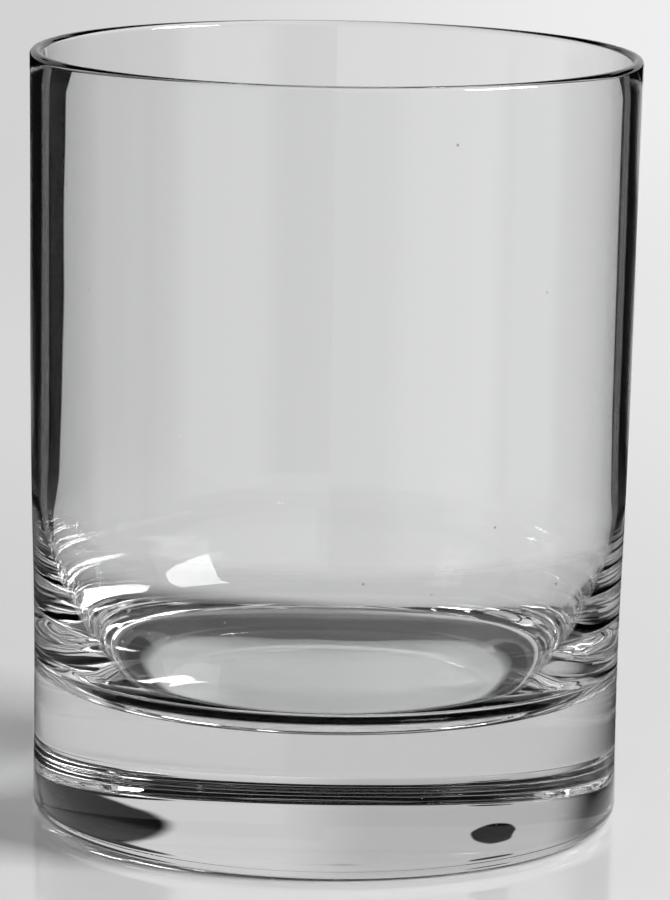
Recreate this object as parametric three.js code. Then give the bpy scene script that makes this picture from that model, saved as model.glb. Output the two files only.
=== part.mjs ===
// A straight-sided double old fashioned glass, pressed from one gob of clear glass: a solid heavy base,
// a thin upright wall with a fire-polished rim, and a rounded well inside. Millimetres, +Z up, with the
// origin in the middle of the surface that it stands on.

import * as THREE from 'three';

// Heights above the table
const HEIGHT = 105;
const BASE_TOP = 25;
const SHOULDER_HEIGHT = 50;

// Outside radii: the straight base, the shoulder where the wall gets steeper, and the rim
const BASE_RADIUS = 40.1;
const SHOULDER_RADIUS = 40.85;
const RIM_RADIUS = 41.4;

// Rounding of the outside where the wall leaves the base and at the shoulder, measured along the wall
const WALL_BLEND = 9;

// Foot: the rounded heel, the flat ring that the glass stands on, and the hollow inside that ring
const HEEL_RADIUS = 2.5;
const RING_WIDTH = 8.6;
const HOLLOW_DEPTH = 1;

// Wall thickness under the rim and at the shoulder, and glass under the well
const RIM_WALL = 1.6;
const SHOULDER_WALL = 1.5;
const FLOOR_THICKNESS = 18.2;

// The well's side, a wide curve that leaves the wall and leans inwards by this angle in degrees,
// and the tighter corner between that side and the flat floor
const WELL_SIDE_RADIUS = 60;
const WELL_SIDE_ANGLE = 21;
const WELL_CORNER_RADIUS = 8;

// Facets round the glass, a multiple of four so that the widest points lie on X and Y,
// and steps along each curved stretch of the profile
const FACETS = 64;
const HOLLOW_STEPS = 5;
const HEEL_STEPS = 5;
const BLEND_STEPS = 3;
const RIM_STEPS = 8;
const SIDE_STEPS = 6;
const CORNER_STEPS = 6;

const GLASS_COLOUR = 0xe9eeee;
const GLASS_ROUGHNESS = 0.04;
const GLASS_OPACITY = 0.35;

const point = (radius, height) => new THREE.Vector2(radius, height);

// The point at the given distance from one point towards another
function towards(from, to, distance) {
  return to.clone().sub(from).setLength(distance).add(from);
}

// A corner rounded by a parabola that leaves both sides at the blend's length
function roundedCorner(before, corner, after, blend, steps) {
  const start = towards(corner, before, blend);
  const end = towards(corner, after, blend);
  return new THREE.QuadraticBezierCurve(start, corner, end).getPoints(steps);
}

// A stretch of a circle, given by its centre, radius and start and end angles
function arc(centre, radius, startAngle, endAngle, steps) {
  const clockwise = endAngle < startAngle;
  const curve = new THREE.EllipseCurve(centre.x, centre.y, radius, radius, startAngle, endAngle, clockwise);
  return curve.getPoints(steps);
}

// Underside: a shallow spherical hollow, from the axis out to the ring that the glass stands on
function undersideOutline() {
  const ringInside = BASE_RADIUS - HEEL_RADIUS - RING_WIDTH;
  const hollowRadius = (ringInside ** 2 + HOLLOW_DEPTH ** 2) / (2 * HOLLOW_DEPTH);
  const centre = point(0, HOLLOW_DEPTH - hollowRadius);
  const edgeAngle = Math.acos(ringInside / hollowRadius);
  return arc(centre, hollowRadius, Math.PI / 2, edgeAngle, HOLLOW_STEPS);
}

// Outside: the heel, the straight base, the flared lower wall and the nearly upright upper wall
function outsideOutline() {
  const heelCentre = point(BASE_RADIUS - HEEL_RADIUS, HEEL_RADIUS);
  const heelTop = point(BASE_RADIUS, HEEL_RADIUS);
  const baseTop = point(BASE_RADIUS, BASE_TOP);
  const shoulder = point(SHOULDER_RADIUS, SHOULDER_HEIGHT);
  const rim = point(RIM_RADIUS, HEIGHT - RIM_WALL / 2);
  return [
    ...arc(heelCentre, HEEL_RADIUS, -Math.PI / 2, 0, HEEL_STEPS),
    ...roundedCorner(heelTop, baseTop, shoulder, WALL_BLEND, BLEND_STEPS),
    ...roundedCorner(baseTop, shoulder, rim, WALL_BLEND, BLEND_STEPS),
  ];
}

// Rim: a half round over the thickness of the wall
function rimOutline() {
  const halfWall = RIM_WALL / 2;
  const centre = point(RIM_RADIUS - halfWall, HEIGHT - halfWall);
  return arc(centre, halfWall, 0, Math.PI, RIM_STEPS);
}

// Well: straight down the inside of the wall, in along the side, round the corner and across the floor.
// The corner starts where the side ends, so its first point is left out.
function wellOutline() {
  const wallInside = SHOULDER_RADIUS - SHOULDER_WALL;
  const sideAngle = THREE.MathUtils.degToRad(WELL_SIDE_ANGLE);
  const radiusChange = WELL_SIDE_RADIUS - WELL_CORNER_RADIUS;
  const sideCentreRadius = wallInside - WELL_SIDE_RADIUS;
  const cornerHeight = FLOOR_THICKNESS + WELL_CORNER_RADIUS;
  const sideCentre = point(sideCentreRadius, cornerHeight + radiusChange * Math.sin(sideAngle));
  const cornerCentre = point(sideCentreRadius + radiusChange * Math.cos(sideAngle), cornerHeight);
  const side = arc(sideCentre, WELL_SIDE_RADIUS, 0, -sideAngle, SIDE_STEPS);
  const corner = arc(cornerCentre, WELL_CORNER_RADIUS, -sideAngle, -Math.PI / 2, CORNER_STEPS);
  return [...side, ...corner.slice(1), point(0, FLOOR_THICKNESS)];
}

const profile = [
  ...undersideOutline(),
  ...outsideOutline(),
  ...rimOutline(),
  ...wellOutline(),
];

const tumblerGeometry = new THREE.LatheGeometry(profile, FACETS);
tumblerGeometry.rotateX(Math.PI / 2);

const clearGlass = new THREE.MeshStandardMaterial({
  color: GLASS_COLOUR,
  roughness: GLASS_ROUGHNESS,
  metalness: 0,
  transparent: true,
  opacity: GLASS_OPACITY,
});

const tumbler = new THREE.Mesh(tumblerGeometry, clearGlass);
tumbler.name = 'tumbler';

const glass = new THREE.Group();
glass.add(tumbler);

export default glass;
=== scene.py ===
"""A double old fashioned glass in clear glass, on a glossy pale table in a small photo studio."""

import math

import bmesh
import bpy
from mathutils import Matrix, Vector


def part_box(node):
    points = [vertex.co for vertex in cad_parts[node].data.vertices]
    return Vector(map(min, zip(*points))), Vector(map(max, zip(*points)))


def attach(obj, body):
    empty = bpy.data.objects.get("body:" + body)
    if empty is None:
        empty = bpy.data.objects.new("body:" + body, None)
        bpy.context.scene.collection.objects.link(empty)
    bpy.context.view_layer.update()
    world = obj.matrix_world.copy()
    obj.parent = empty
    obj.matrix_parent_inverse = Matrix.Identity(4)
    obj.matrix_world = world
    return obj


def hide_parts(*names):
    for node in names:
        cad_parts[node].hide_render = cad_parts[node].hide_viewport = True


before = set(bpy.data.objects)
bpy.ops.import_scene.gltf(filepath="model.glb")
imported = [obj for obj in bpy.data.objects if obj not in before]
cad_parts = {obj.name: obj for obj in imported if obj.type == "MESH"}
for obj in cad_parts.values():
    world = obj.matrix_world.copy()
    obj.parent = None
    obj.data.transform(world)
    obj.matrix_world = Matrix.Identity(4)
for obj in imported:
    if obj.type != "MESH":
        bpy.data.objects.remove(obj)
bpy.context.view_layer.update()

NODE = "tumbler"
SLOT = "clear_glass"
BODY = "root"

# Sizes of the glass in metres. Height and rim come from the upper corner of the CAD model's box.
RIM_RADIUS, _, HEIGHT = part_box(NODE)[1]
BASE_TOP = 0.025
SHOULDER_HEIGHT = 0.050
BASE_RADIUS = 0.0401
SHOULDER_RADIUS = 0.04085
WALL_BLEND = 0.009
HEEL_RADIUS = 0.0025
RING_WIDTH = 0.0086
HOLLOW_DEPTH = 0.0010
RIM_WALL = 0.0016
SHOULDER_WALL = 0.0015
FLOOR_THICKNESS = 0.0182
WELL_SIDE_RADIUS = 0.060
WELL_SIDE_ANGLE = math.radians(21.0)
WELL_CORNER_RADIUS = 0.0080

# Fineness of the mesh
FACETS = 256
ARC_STEPS = 24
LONGEST_STEP = 0.003
SAME_POINT = 1e-7

# The glass itself
GLASS_TINT = (0.995, 1.0, 0.998, 1.0)
GLASS_IOR = 1.52

# Its marks. Each pattern has a stretch along X, Y and Z, a count per metre and a detail level,
# and each threshold is the range of the pattern over which the mark sets in.
STREAK_PATTERN = ((1.0, 1.0, 0.08), 260.0, 3.0)
STREAK_THRESHOLD = (0.56, 0.74)
STREAK_ROUGHNESS = 0.025
SMUDGE_PATTERN = ((1.0, 1.0, 0.6), 38.0, 5.0)
SMUDGE_THRESHOLD = (0.60, 0.78)
SMUDGE_ROUGHNESS = 0.05
WAVE_PATTERN = ((1.0, 1.0, 0.35), 90.0, 1.0)
WAVE_STRENGTH = 0.15
WAVE_DEPTH = 0.0002

# Dust: cells per metre, the draw above which a cell holds a speck, the speck's size in its cell
SPECKS_PER_METRE = 160.0
SPECK_DRAW = 0.72
SPECK_CORE = 0.025
SPECK_RADIUS = 0.05
DUST_TINT = (0.25, 0.25, 0.25, 1.0)

# The camera that took the photograph: place in metres, angles, and lens for a 36 mm frame height
CAMERA_PLACE = Vector((0.0, -0.7357, 0.1856))
CAMERA_PITCH = math.radians(10.412)
CAMERA_ROLL = math.radians(1.03)
CAMERA_YAW = math.radians(0.054)
CAMERA_LENS = 219.12
CAMERA_FRAME = 36.0

# The table, a disc just under the glass, with painted light: its paint is paler towards the right and
# the back
TABLE_RADIUS = 4.0
TABLE_SEGMENTS = 128
TABLE_GAP = 0.00005
TABLE_ROUGHNESS = 0.08
TABLE_LEFT = 0.46
TABLE_RIGHT = 0.48
TABLE_ACROSS = (-0.06, 0.06)
PAINTED_LIGHT_BACK = 1.25
PAINTED_LIGHT_DEPTH = (0.05, 0.45)

# Its shine near the glass and further off, and the distances over which it falls
# and over which the table fades into the backdrop
SHINE_NEAR = 0.5
SHINE_FAR = 0.1
SHINE_RANGE = (0.08, 0.30)
FADE_RANGE = (0.22, 0.85)

# Under the glass: a painted contact shadow, the dark ring where the glass stands, and painted light,
# the pale disc below the hollow
CONTACT_SHADOW_RING = (0.029, 0.0385, 0.001)
CONTACT_SHADOW_PAINT = 0.012
LIT_DISC_EDGE = (0.0265, 0.0285)
LIT_DISC_GAIN = 2.45

# The stretch of table that shows in the glass: where it ends on each side, how far it shows in plain
# reflections, and the painted shade that darkens it as the glass shows it, more towards the left and
# the right
SEEN_LEFT = (-0.12, -0.035)
SEEN_RIGHT = (0.05, 0.25)
SEEN_FRONT = (-0.06, -0.045)
SEEN_BACK = (0.08, 0.11)
MIRRORED_EDGE = (0.045, 0.06)
SEEN_PAINTED_SHADE = 0.80
SEEN_SHADE_LEFT = 0.60
SEEN_SHADE_LEFT_RANGE = (-0.065, -0.042)
SEEN_SHADE_RIGHT = 0.75
SEEN_SHADE_RIGHT_RANGE = (0.042, 0.065)

# Light and dark round the glass by direction, in degrees: azimuth from +Y towards +X, and elevation.
# The backdrop behind the table is what the camera sees past the glass.
BACKDROP_LEFT = 0.65
BACKDROP_RIGHT = 0.86
BACKDROP_ACROSS = (-3.5, 3.5)

# The pale panels that show in the glass, dimmer above the horizon, and the dark room between them
PANEL_LEFT = 0.60
PANEL_RIGHT = 0.80
PANEL_ACROSS = (-7.0, 7.0)
PANEL_UPPER = 0.78
PANEL_HORIZON = (-1.0, 3.0)
ROOM_DARK = 0.004

# The soft light that the room gives the table, from low down and from overhead
ROOM_LOW = 0.04
ROOM_OVERHEAD = 0.63
ROOM_RISE = (20.0, 50.0)

# Panels by left, right, bottom and top, some with a softness of their own at the two sides:
# those behind the glass, and those for the other sides, which show only through the glass
EDGE_SOFTNESS = 0.7
PALE_WINDOWS = (
    (-9.0, 13.5, -80.0, 0.0, 0.12),
    (-47.5, 58.0, 0.0, 26.0, 10.0),
)
OTHER_SIDES = (
    (-105.0, -34.0, -40.0, -19.0, 2.0),
    (34.0, 200.0, -40.0, -19.0, 2.0),
    (-200.0, -105.0, -40.0, 0.0, 8.0),
    (115.0, 155.0, -32.0, 0.0, 8.0),
    (-90.0, -34.0, 26.0, 32.0),
    (-30.0, 34.0, -4.7, 0.0, 15.0),
    (-120.0, -60.0, -4.7, 0.0, 15.0),
    (-104.0, -76.0, -40.0, 0.0, 5.0),
    (-130.0, -60.0, 0.0, 8.0),
    (95.0, 175.0, 8.0, 22.0),
)

# Dark oval things in front of the panels: middle azimuth and elevation, half width and half height,
# and the share of that size at which their soft edge starts
DARK_SPOTS = (
    (52.0, 16.5, 32.0, 9.0),
    (-25.5, 17.5, 4.8, 3.4),
)
SPOT_EDGE = 0.88

# The key lamp, a large soft box to the right in front, in metres and watts
KEY_PLACE = Vector((2.30, -0.92, 1.30))
KEY_AIM = Vector((0.0, 0.0, 0.04))
KEY_WIDTH = 1.25
KEY_HEIGHT = 1.00
KEY_WATTS = 200.0

# Light paths
BOUNCES = 32
CLEAR_BOUNCES = 16


def polar_arc(centre, radius, start, end, steps=ARC_STEPS):
    """Points on a circle round centre, from one angle to another."""
    angles = [start + (end - start) * i / steps for i in range(steps + 1)]
    return [centre + Vector((radius * math.cos(a), radius * math.sin(a))) for a in angles]


def rounded_corner(before, corner, after, blend, steps=ARC_STEPS):
    """A corner rounded by a parabola that leaves both sides at the blend's length."""
    start = corner + (before - corner).normalized() * blend
    end = corner + (after - corner).normalized() * blend
    shares = [i / steps for i in range(steps + 1)]
    return [start * (1 - t) ** 2 + corner * (2 * t * (1 - t)) + end * t ** 2 for t in shares]


def underside_outline():
    """The shallow hollow, from the axis out to the ring that the glass stands on."""
    ring_inside = BASE_RADIUS - HEEL_RADIUS - RING_WIDTH
    radius = (ring_inside ** 2 + HOLLOW_DEPTH ** 2) / (2 * HOLLOW_DEPTH)
    centre = Vector((0.0, HOLLOW_DEPTH - radius))
    return polar_arc(centre, radius, math.pi / 2, math.acos(ring_inside / radius))


def outside_outline():
    """The heel, the straight base, the flared lower wall and the nearly upright upper wall."""
    heel_centre = Vector((BASE_RADIUS - HEEL_RADIUS, HEEL_RADIUS))
    heel_top = Vector((BASE_RADIUS, HEEL_RADIUS))
    base_top = Vector((BASE_RADIUS, BASE_TOP))
    shoulder = Vector((SHOULDER_RADIUS, SHOULDER_HEIGHT))
    rim = Vector((RIM_RADIUS, HEIGHT - RIM_WALL / 2))
    return [
        *polar_arc(heel_centre, HEEL_RADIUS, -math.pi / 2, 0.0),
        *rounded_corner(heel_top, base_top, shoulder, WALL_BLEND),
        *rounded_corner(base_top, shoulder, rim, WALL_BLEND),
    ]


def rim_outline():
    """The fire-polished rim, a half round over the wall."""
    half = RIM_WALL / 2
    return polar_arc(Vector((RIM_RADIUS - half, HEIGHT - half)), half, 0.0, math.pi)


def well_outline():
    """Down the inside of the wall, in along the side, round the corner and across the floor."""
    side_centre_radius = SHOULDER_RADIUS - SHOULDER_WALL - WELL_SIDE_RADIUS
    radius_change = WELL_SIDE_RADIUS - WELL_CORNER_RADIUS
    corner_height = FLOOR_THICKNESS + WELL_CORNER_RADIUS
    side_rise = radius_change * math.sin(WELL_SIDE_ANGLE)
    side_reach = radius_change * math.cos(WELL_SIDE_ANGLE)
    side_centre = Vector((side_centre_radius, corner_height + side_rise))
    corner_centre = Vector((side_centre_radius + side_reach, corner_height))
    return [
        *polar_arc(side_centre, WELL_SIDE_RADIUS, 0.0, -WELL_SIDE_ANGLE),
        *polar_arc(corner_centre, WELL_CORNER_RADIUS, -WELL_SIDE_ANGLE, -math.pi / 2),
        Vector((0.0, FLOOR_THICKNESS)),
    ]


def glass_outline():
    """The whole profile from axis to axis, with doubled points left out and long stretches divided."""
    corners = [*underside_outline(), *outside_outline(), *rim_outline(), *well_outline()]
    points = [corners[0]]
    for corner in corners[1:]:
        start = points[-1]
        length = (corner - start).length
        if length < SAME_POINT:
            continue
        steps = math.ceil(length / LONGEST_STEP)
        points += [start.lerp(corner, i / steps) for i in range(1, steps + 1)]
    return points


def turned_mesh(name, outline, facets):
    """A closed mesh of revolution about Z from a profile that starts and ends on the axis."""
    turns = [2 * math.pi * i / facets for i in range(facets)]
    mesh = bmesh.new()

    def ring_at(p):
        return [mesh.verts.new((p.x * math.cos(a), p.x * math.sin(a), p.y)) for a in turns]

    rings = [ring_at(p) for p in outline[1:-1]]
    for lower, upper in zip(rings, rings[1:]):
        for i in range(facets):
            j = (i + 1) % facets
            mesh.faces.new((lower[i], lower[j], upper[j], upper[i]))
    for ring, end in ((rings[0], outline[0]), (rings[-1], outline[-1])):
        pole = mesh.verts.new((0.0, 0.0, end.y))
        for i in range(facets):
            mesh.faces.new((ring[i], ring[(i + 1) % facets], pole))
    bmesh.ops.recalc_face_normals(mesh, faces=mesh.faces)
    data = bpy.data.meshes.new(name)
    mesh.to_mesh(data)
    mesh.free()
    data.shade_smooth()
    return data


class NodeMath:
    """Short calls for the nodes of one material or world."""

    def __init__(self, tree):
        self.tree = tree

    def node(self, kind):
        return self.tree.nodes.new(kind)

    def link(self, value, socket):
        if isinstance(value, (int, float)):
            socket.default_value = value
        else:
            self.tree.links.new(value, socket)

    def math(self, operation, *values):
        node = self.node("ShaderNodeMath")
        node.operation = operation
        for value, socket in zip(values, node.inputs):
            self.link(value, socket)
        return node.outputs[0]

    def ramp(self, value, start, end, low=0.0, high=1.0):
        """low before start, high after end, and smooth in between."""
        node = self.node("ShaderNodeMapRange")
        node.interpolation_type = "SMOOTHSTEP"
        for number, socket in zip((value, start, end, low, high), node.inputs):
            self.link(number, socket)
        return node.outputs[0]

    def band(self, value, start, end, soft):
        """1 between start and end and 0 outside, with soft limits."""
        rise = self.ramp(value, start - soft, start + soft)
        fall = self.ramp(value, end - soft, end + soft, 1.0, 0.0)
        return self.math("MULTIPLY", rise, fall)

    def mix(self, share, first, second):
        node = self.node("ShaderNodeMix")
        self.link(share, node.inputs["Factor"])
        self.link(first, node.inputs["A"])
        self.link(second, node.inputs["B"])
        return node.outputs["Result"]

    def mix_shader(self, share, first, second):
        node = self.node("ShaderNodeMixShader")
        self.link(share, node.inputs[0])
        self.link(first, node.inputs[1])
        self.link(second, node.inputs[2])
        return node.outputs[0]


def glass_material():
    """Clear glass with faint upright draw marks, a few wiped smudges and specks of dust."""
    material = bpy.data.materials.new(SLOT)
    material.use_nodes = True
    nodes = NodeMath(material.node_tree)
    shader = material.node_tree.nodes["Principled BSDF"]
    shader.inputs["IOR"].default_value = GLASS_IOR
    shader.inputs["Transmission Weight"].default_value = 1.0
    place = nodes.node("ShaderNodeTexCoord").outputs["Object"]

    def noise(stretch, per_metre, detail):
        stretched = nodes.node("ShaderNodeMapping")
        stretched.inputs["Scale"].default_value = stretch
        nodes.link(place, stretched.inputs["Vector"])
        texture = nodes.node("ShaderNodeTexNoise")
        texture.inputs["Scale"].default_value = per_metre
        texture.inputs["Detail"].default_value = detail
        nodes.link(stretched.outputs[0], texture.inputs["Vector"])
        return texture.outputs[0]

    streaks = nodes.ramp(noise(*STREAK_PATTERN), *STREAK_THRESHOLD)
    smudges = nodes.ramp(noise(*SMUDGE_PATTERN), *SMUDGE_THRESHOLD)
    film = nodes.math("MULTIPLY", smudges, SMUDGE_ROUGHNESS)
    film = nodes.math("ADD", film, nodes.math("MULTIPLY", streaks, STREAK_ROUGHNESS))
    nodes.link(film, shader.inputs["Roughness"])

    specks = nodes.node("ShaderNodeTexVoronoi")
    specks.inputs["Scale"].default_value = SPECKS_PER_METRE
    nodes.link(place, specks.inputs["Vector"])
    chosen = nodes.math("GREATER_THAN", specks.outputs["Color"], SPECK_DRAW)
    small = nodes.ramp(specks.outputs["Distance"], SPECK_CORE, SPECK_RADIUS, 1.0, 0.0)
    dust = nodes.math("MULTIPLY", chosen, small)
    tint = nodes.node("ShaderNodeMix")
    tint.data_type = "RGBA"
    tint.inputs["A"].default_value = GLASS_TINT
    tint.inputs["B"].default_value = DUST_TINT
    nodes.link(dust, tint.inputs["Factor"])
    nodes.link(tint.outputs["Result"], shader.inputs["Base Color"])

    wave = nodes.node("ShaderNodeBump")
    wave.inputs["Strength"].default_value = WAVE_STRENGTH
    wave.inputs["Distance"].default_value = WAVE_DEPTH
    nodes.link(noise(*WAVE_PATTERN), wave.inputs["Height"])
    nodes.link(wave.outputs["Normal"], shader.inputs["Normal"])
    return material


def add_glass():
    """The glass, which stands in for the CAD solid."""
    mesh = turned_mesh("tumbler_glass", glass_outline(), FACETS)
    mesh.materials.append(glass_material())
    glass = bpy.data.objects.new("tumbler_glass", mesh)
    bpy.context.scene.collection.objects.link(glass)
    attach(glass, BODY)
    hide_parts(NODE)


def table_material():
    """Glossy pale paint with painted light and shade that fades into the backdrop; the glass shows only
    a short stretch of it.
    """
    material = bpy.data.materials.new("table")
    material.use_nodes = True
    nodes = NodeMath(material.node_tree)
    shader = material.node_tree.nodes["Principled BSDF"]
    shader.inputs["Roughness"].default_value = TABLE_ROUGHNESS
    place = nodes.node("ShaderNodeTexCoord").outputs["Object"]
    split = nodes.node("ShaderNodeSeparateXYZ")
    nodes.link(place, split.inputs[0])
    x, y, _ = split.outputs
    length = nodes.node("ShaderNodeVectorMath")
    length.operation = "LENGTH"
    nodes.link(place, length.inputs[0])
    distance = length.outputs["Value"]
    path = nodes.node("ShaderNodeLightPath").outputs
    in_glass = nodes.math("MAXIMUM", path["Is Glossy Ray"], path["Is Transmission Ray"])
    mirrored = nodes.math("SUBTRACT", path["Is Glossy Ray"], path["Is Transmission Ray"])

    # Painted light: the paint grows paler towards the right and the back
    paint = nodes.ramp(x, *TABLE_ACROSS, TABLE_LEFT, TABLE_RIGHT)
    paint = nodes.math("MULTIPLY", paint, nodes.ramp(y, *PAINTED_LIGHT_DEPTH, 1.0, PAINTED_LIGHT_BACK))
    # Painted contact shadow: a dark ring on the table under the glass's foot
    paint = nodes.mix(nodes.band(distance, *CONTACT_SHADOW_RING), paint, CONTACT_SHADOW_PAINT)
    # Painted light: a pale disc on the table below the hollow
    paint = nodes.math("MULTIPLY", paint, nodes.ramp(distance, *LIT_DISC_EDGE, LIT_DISC_GAIN, 1.0))
    # Painted shade: the table as the glass shows it is darker, most towards its left and right
    shade_on_left = nodes.ramp(x, *SEEN_SHADE_LEFT_RANGE, SEEN_SHADE_LEFT, 1.0)
    shade_on_right = nodes.ramp(x, *SEEN_SHADE_RIGHT_RANGE, 1.0, SEEN_SHADE_RIGHT)
    dim = nodes.math("MULTIPLY", nodes.math("MULTIPLY", shade_on_left, shade_on_right), SEEN_PAINTED_SHADE)
    paint = nodes.math("MULTIPLY", paint, nodes.mix(in_glass, 1.0, dim))
    nodes.link(paint, shader.inputs["Base Color"])

    shine = nodes.ramp(distance, *SHINE_RANGE, SHINE_NEAR, SHINE_FAR)
    shine = nodes.math("MULTIPLY", shine, nodes.math("SUBTRACT", 1.0, in_glass))
    nodes.link(shine, shader.inputs["Specular IOR Level"])

    faded = nodes.ramp(distance, *FADE_RANGE)
    hidden = nodes.math("MULTIPLY", nodes.ramp(distance, *MIRRORED_EDGE), mirrored)
    for end in (
        nodes.ramp(x, *SEEN_LEFT, 1.0, 0.0),
        nodes.ramp(x, *SEEN_RIGHT),
        nodes.ramp(y, *SEEN_FRONT, 1.0, 0.0),
        nodes.ramp(y, *SEEN_BACK),
    ):
        hidden = nodes.math("MAXIMUM", hidden, end)
    clear = nodes.node("ShaderNodeBsdfTransparent").outputs[0]
    surface = nodes.mix_shader(nodes.mix(in_glass, faded, hidden), shader.outputs[0], clear)
    nodes.link(surface, material.node_tree.nodes["Material Output"].inputs[0])
    return material


def add_table():
    """The table, part of the stage."""
    mesh = bmesh.new()
    bmesh.ops.create_circle(mesh, cap_ends=True, segments=TABLE_SEGMENTS, radius=TABLE_RADIUS)
    data = bpy.data.meshes.new("table")
    mesh.to_mesh(data)
    mesh.free()
    data.materials.append(table_material())
    table = bpy.data.objects.new("table", data)
    table.location.z = -TABLE_GAP
    bpy.context.scene.collection.objects.link(table)


def add_world():
    """A backdrop for the camera, pale panels in a dark room for the glass, soft light for the table."""
    world = bpy.data.worlds.new("studio")
    bpy.context.scene.world = world
    world.use_nodes = True
    world.node_tree.nodes.clear()
    nodes = NodeMath(world.node_tree)
    split = nodes.node("ShaderNodeSeparateXYZ")
    nodes.link(nodes.node("ShaderNodeTexCoord").outputs["Generated"], split.inputs[0])
    x, y, z = split.outputs
    azimuth = nodes.math("DEGREES", nodes.math("ARCTAN2", x, y))
    elevation = nodes.math("DEGREES", nodes.math("ARCSINE", z))
    path = nodes.node("ShaderNodeLightPath").outputs
    backdrop = nodes.ramp(azimuth, *BACKDROP_ACROSS, BACKDROP_LEFT, BACKDROP_RIGHT)
    panel = nodes.ramp(azimuth, *PANEL_ACROSS, PANEL_LEFT, PANEL_RIGHT)
    panel = nodes.math("MULTIPLY", panel, nodes.ramp(elevation, *PANEL_HORIZON, 1.0, PANEL_UPPER))
    room_light = nodes.ramp(elevation, *ROOM_RISE, ROOM_LOW, ROOM_OVERHEAD)

    def window(left, right, bottom, top, side_softness=EDGE_SOFTNESS):
        across = nodes.band(azimuth, left, right, side_softness)
        return nodes.math("MULTIPLY", across, nodes.band(elevation, bottom, top, EDGE_SOFTNESS))

    def outside_spot(across, up, half_width, half_height):
        aside = nodes.math("DIVIDE", nodes.math("SUBTRACT", azimuth, across), half_width)
        above = nodes.math("DIVIDE", nodes.math("SUBTRACT", elevation, up), half_height)
        squares = nodes.math("MULTIPLY_ADD", aside, aside, nodes.math("MULTIPLY", above, above))
        return nodes.ramp(nodes.math("SQRT", squares), SPOT_EDGE, 1.0)

    pale = 0.0
    for corners in PALE_WINDOWS:
        pale = nodes.math("MAXIMUM", pale, window(*corners))
    for oval in DARK_SPOTS:
        pale = nodes.math("MULTIPLY", pale, outside_spot(*oval))
    other_sides = 0.0
    for corners in OTHER_SIDES:
        other_sides = nodes.math("MAXIMUM", other_sides, window(*corners))
    other_sides = nodes.math("MULTIPLY", other_sides, path["Is Transmission Ray"])
    pale = nodes.math("MAXIMUM", pale, other_sides)
    room = nodes.mix(pale, ROOM_DARK, panel)

    in_glass = nodes.math("MAXIMUM", path["Is Glossy Ray"], path["Is Transmission Ray"])
    unscattered = nodes.math("LESS_THAN", path["Diffuse Depth"], 1.0)
    sees_room = nodes.math("MULTIPLY", in_glass, unscattered)
    shade = nodes.mix(sees_room, room_light, room)
    shade = nodes.mix(path["Is Camera Ray"], shade, backdrop)
    background = nodes.node("ShaderNodeBackground")
    nodes.link(shade, background.inputs["Color"])
    nodes.link(background.outputs[0], nodes.node("ShaderNodeOutputWorld").inputs[0])


def add_key_light():
    """The key lamp, aimed at the lower part of the glass."""
    lamp = bpy.data.lights.new("key", "AREA")
    lamp.shape = "RECTANGLE"
    lamp.size = KEY_WIDTH
    lamp.size_y = KEY_HEIGHT
    lamp.energy = KEY_WATTS
    key = bpy.data.objects.new("key", lamp)
    key.location = KEY_PLACE
    key.rotation_euler = (KEY_AIM - KEY_PLACE).to_track_quat("-Z", "Y").to_euler()
    key.visible_camera = False
    bpy.context.scene.collection.objects.link(key)


def add_camera():
    """The camera, turned by its yaw, pitch and roll."""
    forward = Vector((
        math.sin(CAMERA_YAW) * math.cos(CAMERA_PITCH),
        math.cos(CAMERA_YAW) * math.cos(CAMERA_PITCH),
        -math.sin(CAMERA_PITCH),
    ))
    level = Vector((math.cos(CAMERA_YAW), -math.sin(CAMERA_YAW), 0.0))
    upright = level.cross(forward)
    right = level * math.cos(CAMERA_ROLL) + upright * math.sin(CAMERA_ROLL)
    up = upright * math.cos(CAMERA_ROLL) - level * math.sin(CAMERA_ROLL)
    lens = bpy.data.cameras.new("camera")
    lens.lens = CAMERA_LENS
    lens.sensor_width = CAMERA_FRAME
    camera = bpy.data.objects.new("camera", lens)
    turn = Matrix((right, up, -forward)).transposed().to_4x4()
    camera.matrix_world = Matrix.Translation(CAMERA_PLACE) @ turn
    bpy.context.scene.collection.objects.link(camera)
    bpy.context.scene.camera = camera


def set_light_paths():
    """Plain colours, sharp caustics, and bounces for light that runs to and fro in the thick base."""
    scene = bpy.context.scene
    scene.view_settings.view_transform = "Standard"
    scene.cycles.blur_glossy = 0.0
    scene.cycles.max_bounces = BOUNCES
    scene.cycles.glossy_bounces = BOUNCES
    scene.cycles.transmission_bounces = BOUNCES
    scene.cycles.transparent_max_bounces = CLEAR_BOUNCES


add_glass()
add_table()
add_world()
add_key_light()
add_camera()
set_light_paths()
